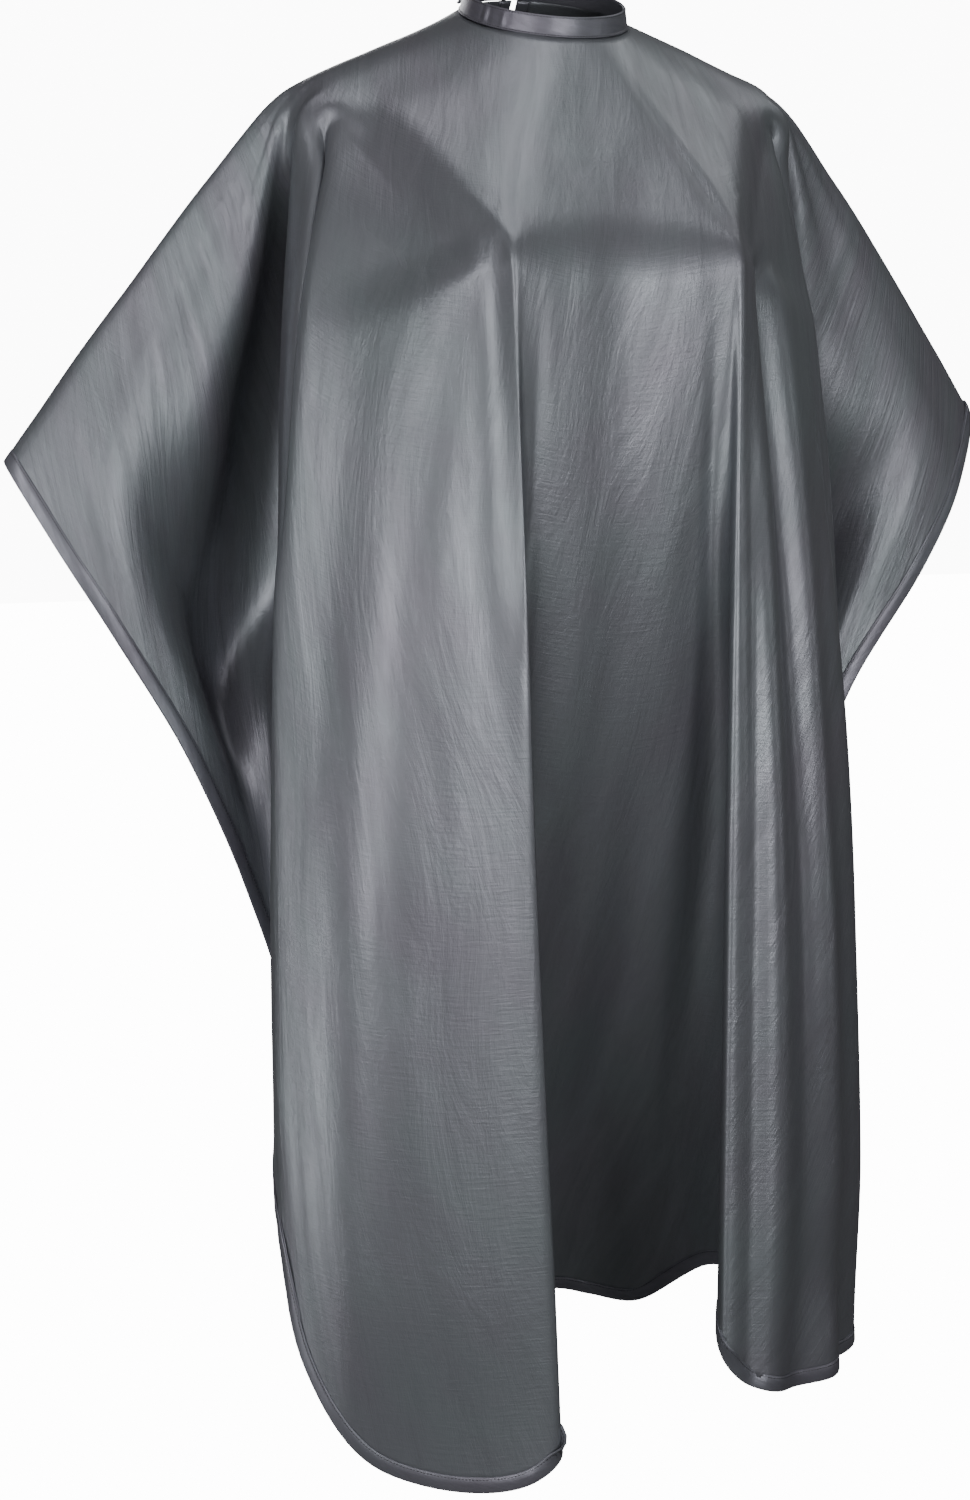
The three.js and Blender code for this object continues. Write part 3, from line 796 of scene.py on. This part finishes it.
def tape_along(name, edge, inner, seed):
    """A folded tape round an edge of the sheet, with its puckers and a length-wise UV map."""
    settings = bpy.context.scene.edge_tape
    edge, inward, normal = edge_frames(edge, inner)
    section = tape_section(settings.width, settings.fullness, 0.0004)
    run = np.concatenate([[0], np.cumsum(np.linalg.norm(np.diff(edge, axis=0), axis=1))])
    sections = []
    for i in range(len(edge)):
        pucker = 1 + settings.pucker / settings.fullness * noise.noise(Vector((run[i] * 95, seed, 0)))
        wave = 1 + 0.05 * noise.noise(Vector((run[i] * 40, seed + 5, 0)))
        sections.append([
            edge[i] + inward[i] * depth * (wave if depth > 0 else 1) + normal[i] * height * pucker
            for depth, height in section
        ])
    piece = sweep(name, sections)
    layer = piece.data.uv_layers.new(name="cloth")
    size = len(section)
    reach = [depth + abs(height) for depth, height in section]
    for loop in piece.data.loops:
        i, k = divmod(loop.vertex_index, size)
        layer.data[loop.index].uv = (reach[k], run[i])
    return piece


def stitch_row(name, points, normals, lift):
    """A row of sewn stitches on a path: short six-sided lengths of thread, dipping at each end."""
    settings = bpy.context.scene.edge_tape
    steps = np.linalg.norm(np.diff(points, axis=0), axis=1)
    run = np.concatenate([[0], np.cumsum(steps)])
    pitch = settings.stitch_length
    count = int(run[-1] / pitch)
    radius = settings.thread / 2
    vertices = []
    faces = []
    profile = [(0.06, -0.9, 0.45), (0.3, 0.25, 1.0), (0.62, 0.25, 1.0), (0.86, -0.9, 0.45)]

    def at(distance, table):
        return np.array([np.interp(distance, run, table[:, axis]) for axis in range(3)])

    for s in range(count):
        base = len(vertices)
        centre_line = [at((s + share) * pitch, points) for share, _, _ in profile]
        up = at((s + 0.5) * pitch, normals)
        up /= np.linalg.norm(up)
        ahead = centre_line[-1] - centre_line[0]
        ahead /= np.linalg.norm(ahead)
        side = np.cross(ahead, up)
        for middle, (_, rise, girth) in zip(centre_line, profile):
            middle = middle + up * (lift + rise * radius)
            for k in range(THREAD_SIDES):
                turn = 2 * math.pi * k / THREAD_SIDES
                ring = side * math.cos(turn) + up * math.sin(turn)
                vertices.append(middle + ring * radius * girth)
        for ring in range(len(profile) - 1):
            for k in range(THREAD_SIDES):
                a = base + ring * THREAD_SIDES + k
                b = base + ring * THREAD_SIDES + (k + 1) % THREAD_SIDES
                faces.append((a, b, b + THREAD_SIDES, a + THREAD_SIDES))
        faces.append(tuple(base + k for k in reversed(range(THREAD_SIDES))))
        last = base + (len(profile) - 1) * THREAD_SIDES
        faces.append(tuple(last + k for k in range(THREAD_SIDES)))
    return new_piece(name, vertices, faces)


def seam_on_tape(name, edge, inner, side):
    """The stitches that hold a tape, near its inner edge, on one face of the cloth."""
    settings = bpy.context.scene.edge_tape
    edge, inward, normal = edge_frames(edge, inner)
    line = edge + inward * settings.width * 0.84
    return stitch_row(name, line, normal * side, settings.fullness * 1.02)


class CAPE_OT_edge_tape(bpy.types.Operator):
    """Folds satin tape over the hem and over both edges of the back slit, and sews it"""

    bl_idname = "cape.edge_tape"
    bl_label = "Bind the edges"

    def execute(self, context):
        grid = cloth_grid()
        hem = (grid[-1], grid[-1 - INNER])
        tape = tape_along("hem_tape", *hem, seed=1)
        put_on(tape, material(satin_tape), "satin_binding", "cape", "hem_binding")
        normal = edge_frames(*hem)[2]
        facing = 1 if np.sum(normal[len(normal) // 2] * np.array([0, -1, 0])) > 0 else -1
        for label, side in (("outer", facing), ("inner", -facing)):
            seam = seam_on_tape(f"hem_stitches_{label}", *hem, side)
            put_on(seam, material(sewing_thread), "satin_binding", "cape")
        stop = len(grid) - HEM_ROWS
        for label, edge, inner in (("right", 0, INNER), ("left", -1, -1 - INNER)):
            column = (grid[:stop, edge], grid[:stop, inner])
            tape = tape_along(f"slit_tape_{label}", *column, seed=2 + edge)
            put_on(tape, material(satin_tape), "satin_binding", "cape", f"slit_binding_{label}")
            for name, side in (("outer", 1), ("inner", -1)):
                seam = seam_on_tape(f"slit_stitches_{label}_{name}", *column, side)
                put_on(seam, material(sewing_thread), "satin_binding", "cape")
        return {"FINISHED"}


# ---------------------------------------------------------------------------- neckband and tab

PLY_STEP = 0.85 * MM
STIFFENER = 0.5 * MM
STIFFENER_MARGIN = 1.5 * MM
STITCH_MARGIN = 1.6 * MM
BAND_OUTSIDE = 2.2 * MM
TAB_LIFT = 4.625 * MM
TAB_ROOT = 176.0
SOCKET_PITCH = 12.3 * MM
STUD_SOCKETS = (1, 3)


def degrees_for(length):
    """Degrees round the neck seam that a length takes."""
    return math.degrees(length / bpy.context.scene.neckband.neck_radius)


def underlap_start():
    """Heading where the band's other end starts, under the tab."""
    return TAB_ROOT + degrees_for(12 * MM)


def socket_heading(k):
    """Heading of a press stud socket, counted from the underlap's start."""
    return underlap_start() + degrees_for(9 * MM) + k * degrees_for(SOCKET_PITCH)


def tab_end():
    """Heading of the tab's free end."""
    return socket_heading(STUD_SOCKETS[1]) + degrees_for(8 * MM)


def gathers(heading, rise):
    """Small upright gathers in the band, to the right of the throat."""
    band = bpy.context.scene.neckband
    height = 0.0
    for centre, width, share in ((-66, 1.7, 1.0), (-70, 1.4, -0.7), (-62, 1.5, -0.5), (-51, 1.8, 0.6)):
        height += share * math.exp(-(((heading - centre) / width) ** 2))
    return band.crinkle * height * math.sin(math.pi * min(1, max(0, rise / band.height)))


def lower_roll(rise):
    """The full lower edge of the band, with the sewn groove above it."""
    roll = math.exp(-(((rise - 0.9 * MM) / (0.7 * MM)) ** 2))
    groove = math.exp(-(((rise - 2.6 * MM) / (0.8 * MM)) ** 2))
    return 0.55 * MM * roll - 0.2 * MM * groove


def folded_band(name, start, end, steps, lift, low, high):
    """A strip of folded tape round the neck, its outer and inner faces and both its folds."""
    band = bpy.context.scene.neckband
    middle = (low + high) / 2
    half = (high - low) / 2
    loop = []
    for k in range(9):
        turn = math.pi * k / 8
        loop.append((middle + half * math.cos(turn), band.height - half + half * math.sin(turn)))
    for share in (0.8, 0.6, 0.4, 0.2):
        loop.append((low, band.height * share))
    for k in range(9):
        turn = math.pi * (1 + k / 8)
        loop.append((middle + half * math.cos(turn), half + half * math.sin(turn)))
    for share in (0.1, 0.13, 0.16, 0.2, 0.3, 0.45, 0.6, 0.8):
        loop.append((high, band.height * share))
    sections = []
    for i in range(steps + 1):
        heading = start + (end - start) * i / steps
        wave = 0.00007 * noise.noise(Vector((heading * 0.22, 3.0, 0)))
        sections.append([
            tilted(band_point(
                heading,
                out + lift(heading)
                + (wave + gathers((heading + 180) % 360 - 180, rise) + lower_roll(rise)) * (out > middle),
                rise,
            ))
            for out, rise in loop
        ])
    piece = sweep(name, sections)
    layer = piece.data.uv_layers.new(name="cloth")
    size = len(loop)
    radius = band.neck_radius
    for corner in piece.data.loops:
        i, k = divmod(corner.vertex_index, size)
        around = math.radians(start + (end - start) * i / steps) * radius
        layer.data[corner.index].uv = (loop[k][1], around)
    return piece


def band_stitches(name, start, end, rise, out, lift, side):
    """A row of stitches round the band at one height."""
    steps = 240
    headings = [start + (end - start) * i / steps for i in range(steps + 1)]
    points = np.array([tilted(band_point(h, out + lift(h), rise)) for h in headings])
    outward = np.array([
        tilted(band_point(h, out + 0.001, rise)) - tilted(band_point(h, out, rise)) for h in headings
    ])
    outward /= np.linalg.norm(outward, axis=1, keepdims=True)
    return stitch_row(name, points, outward * side, 0.00002)


def no_lift(heading):
    """The band itself lies flat round the neck."""
    return 0.0


def tab_lift(heading):
    """The tab steps out over the band's other end."""
    return TAB_LIFT * smooth(heading, TAB_ROOT, underlap_start() - 1)


def stiffening(name, start, end, steps, lift, body, replaced):
    """A strip of stiffener between the plies, short of the folds and ends of its cover."""
    height = bpy.context.scene.neckband.height
    section = (
        (PLY_STEP, STIFFENER_MARGIN),
        (PLY_STEP + STIFFENER, STIFFENER_MARGIN),
        (PLY_STEP + STIFFENER, height - STIFFENER_MARGIN),
        (PLY_STEP, height - STIFFENER_MARGIN),
    )
    sections = []
    for i in range(steps + 1):
        heading = start + 0.6 + (end - start - 1.2) * i / steps
        sections.append([tilted(band_point(heading, out + lift(heading), rise)) for out, rise in section])
    stay = sweep(name, sections)
    stay.data.uv_layers.new(name="cloth")
    put_on(stay, material(stiffener), "interfacing", body, replaced)


def sew_band(name, start, end, lift, body):
    """A row of stitches near each edge of a strip of the band."""
    height = bpy.context.scene.neckband.height
    for label, rise in (("lower", STITCH_MARGIN), ("upper", height - STITCH_MARGIN)):
        seam = band_stitches(f"{name}_{label}", start, end, rise, BAND_OUTSIDE, lift, 1)
        put_on(seam, material(sewing_thread), "satin_binding", body)


class CAPE_OT_neckband(bpy.types.Operator):
    """Folds the neckband round its stiffener and sews its edges"""

    bl_idname = "cape.neckband"
    bl_label = "Make the neckband"

    def execute(self, context):
        start = underlap_start() - 360
        band = folded_band("neckband_cover", start, TAB_ROOT, 300, no_lift, 0.0, BAND_OUTSIDE)
        put_on(band, material(satin_tape), "satin_binding", "cape", "neckband_shell", "neckband_lining")
        stiffening("neckband_interfacing", start, TAB_ROOT, 180, no_lift, "cape", "neckband_stay")
        sew_band("neckband_stitches", start + 1, TAB_ROOT - 1, no_lift, "cape")
        return {"FINISHED"}


class CAPE_OT_closure_tab(bpy.types.Operator):
    """Makes the tab that laps over the band's other end, and sews it"""

    bl_idname = "cape.closure_tab"
    bl_label = "Make the closure tab"

    def execute(self, context):
        begin = TAB_ROOT + 0.1
        end = tab_end()
        tab = folded_band("closure_tab_cover", begin, end, 60, tab_lift, 0.0, BAND_OUTSIDE)
        nodes = ("closure_tab_shell", "closure_tab_lining")
        put_on(tab, material(satin_tape), "satin_binding", "closure_tab", *nodes)
        stiffening("closure_tab_interfacing", begin, end, 40, tab_lift, "closure_tab", "closure_tab_stay")
        sew_band("closure_tab_stitches", begin + 12, end - 1, tab_lift, "closure_tab")
        return {"FINISHED"}


# ---------------------------------------------------------------------------- press studs


class CAPE_OT_press_studs(bpy.types.Operator):
    """Plates the sockets, posts, studs and caps of the press studs"""

    bl_idname = "cape.press_studs"
    bl_label = "Plate the press studs"

    def execute(self, context):
        for name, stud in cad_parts.items():
            if name.startswith("snap_"):
                stud.data.materials.clear()
                stud.data.materials.append(material(nickel))
        return {"FINISHED"}


# ---------------------------------------------------------------------------- studio

SENSOR = 36.0

# Name, heading, distance, height, width and height of the lamp, and its power.
LAMPS = (
    ("key", -48, 2.7, -0.15, (1.3, 1.2), 25),
    ("front", 5, 2.9, -0.12, (1.2, 0.8), 27),
    ("fill", 58, 2.8, -0.3, (0.4, 1.0), 3),
    ("side", -100, 2.2, -1.1, (0.5, 0.8), 9),
    ("top", 0, 0.8, 2.3, (2.2, 1.4), 23),
    ("right_top", 105, 1.9, 1.5, (0.8, 0.8), 5),
    ("back", 180, 2.7, 0.3, (1.6, 1.4), 32),
)
LAMP_AIM = Vector((0, -0.1, -0.45))


def studio_paper(brightness):
    """Paper that the camera sees as bright as the backdrop and that throws little light back."""
    paper, tree, principled = shader("Pale paper")
    principled.inputs["Base Color"].default_value = (0.08, 0.08, 0.08, 1)
    principled.inputs["Roughness"].default_value = 0.9
    glow = node(tree, "ShaderNodeEmission", Strength=brightness)
    seen = node(tree, "ShaderNodeLightPath")
    choose = node(tree, "ShaderNodeMixShader")
    tree.links.new(seen.outputs["Is Camera Ray"], choose.inputs["Fac"])
    tree.links.new(principled.outputs["BSDF"], choose.inputs[1])
    tree.links.new(glow.outputs["Emission"], choose.inputs[2])
    tree.links.new(choose.outputs["Shader"], tree.nodes["Material Output"].inputs["Surface"])
    return paper


class CAPE_OT_studio(bpy.types.Operator):
    """Sets the pale floor, the backdrop, the soft lights and the camera"""

    bl_idname = "cape.studio"
    bl_label = "Set up the studio"

    def execute(self, context):
        settings = context.scene.studio
        floor_height = CAD_BOX[0][2] - settings.floor_gap
        bpy.ops.object.select_all(action="DESELECT")
        bpy.ops.mesh.primitive_plane_add(size=24, location=(0, 0, floor_height))
        floor = context.object
        floor.name = "studio_floor"
        floor.data.materials.append(studio_paper(settings.backdrop_light))

        world = bpy.data.worlds.new("Studio")
        world.use_nodes = True
        tree = world.node_tree
        room = tree.nodes["Background"]
        room.inputs["Color"].default_value = (1, 1, 1, 1)
        room.inputs["Strength"].default_value = settings.room_light
        backdrop = node(tree, "ShaderNodeBackground", Strength=settings.backdrop_light)
        seen = node(tree, "ShaderNodeLightPath")
        choose = node(tree, "ShaderNodeMixShader")
        tree.links.new(seen.outputs["Is Camera Ray"], choose.inputs["Fac"])
        tree.links.new(room.outputs["Background"], choose.inputs[1])
        tree.links.new(backdrop.outputs["Background"], choose.inputs[2])
        tree.links.new(choose.outputs["Shader"], tree.nodes["World Output"].inputs["Surface"])
        context.scene.world = world

        for name, heading, distance, height, (width, tall), power in LAMPS:
            light = bpy.data.lights.new(name, "AREA")
            light.shape = "RECTANGLE"
            light.size = width
            light.size_y = tall
            light.energy = power
            lamp = bpy.data.objects.new(name, light)
            around = math.radians(heading)
            lamp.location = (distance * math.sin(around), -distance * math.cos(around), height)
            aim = LAMP_AIM - lamp.location
            lamp.rotation_euler = aim.to_track_quat("-Z", "Y").to_euler()
            context.scene.collection.objects.link(lamp)

        camera = bpy.data.cameras.new("camera")
        camera.sensor_width = SENSOR
        camera.lens = settings.lens
        view = bpy.data.objects.new("camera", camera)
        context.scene.collection.objects.link(view)
        turn = settings.azimuth
        view.location = (
            settings.distance * math.sin(turn),
            -settings.distance * math.cos(turn),
            -settings.camera_drop,
        )
        view.rotation_euler = Euler((math.radians(90), 0, turn))
        camera.shift_x = settings.shift_x
        camera.shift_y = settings.shift_y
        context.scene.camera = view
        return {"FINISHED"}


# ---------------------------------------------------------------------------- an empty step and the panel


class CAPE_OT_declare(bpy.types.Operator):
    """An empty step: it does nothing."""

    bl_idname = "cape.declare"
    bl_label = "Declare the cloth"

    def execute(self, context):
        return {"FINISHED"}


class CAPE_PT_panel(bpy.types.Panel):
    """Lists the cape's making in order"""

    bl_idname = "CAPE_PT_panel"
    bl_label = "Salon Cape"
    bl_space_type = "VIEW_3D"
    bl_region_type = "UI"
    bl_category = "Salon Cape"

    def draw(self, context):
        for name in SETTINGS:
            box = self.layout.box()
            settings = getattr(context.scene, name)
            for key in settings.__annotations__:
                box.prop(settings, key)
        for step in STEPS:
            self.layout.operator(step.bl_idname)


STEPS = (
    CAPE_OT_sheet,
    CAPE_OT_edge_tape,
    CAPE_OT_neckband,
    CAPE_OT_closure_tab,
    CAPE_OT_press_studs,
    CAPE_OT_declare,
    CAPE_OT_studio,
)


def register():
    for name, group in SETTINGS.items():
        bpy.utils.register_class(group)
        setattr(bpy.types.Scene, name, PointerProperty(type=group))
    for step in STEPS:
        bpy.utils.register_class(step)
    bpy.utils.register_class(CAPE_PT_panel)


def unregister():
    bpy.utils.unregister_class(CAPE_PT_panel)
    for step in reversed(STEPS):
        bpy.utils.unregister_class(step)
    for name, group in SETTINGS.items():
        delattr(bpy.types.Scene, name)
        bpy.utils.unregister_class(group)


def main():
    register()
    bpy.ops.cape.studio()
    bpy.ops.cape.sheet()
    bpy.ops.cape.edge_tape()
    bpy.ops.cape.neckband()
    bpy.ops.cape.closure_tab()
    bpy.ops.cape.press_studs()
    bpy.ops.cape.declare()


if __name__ == "__main__":
    main()
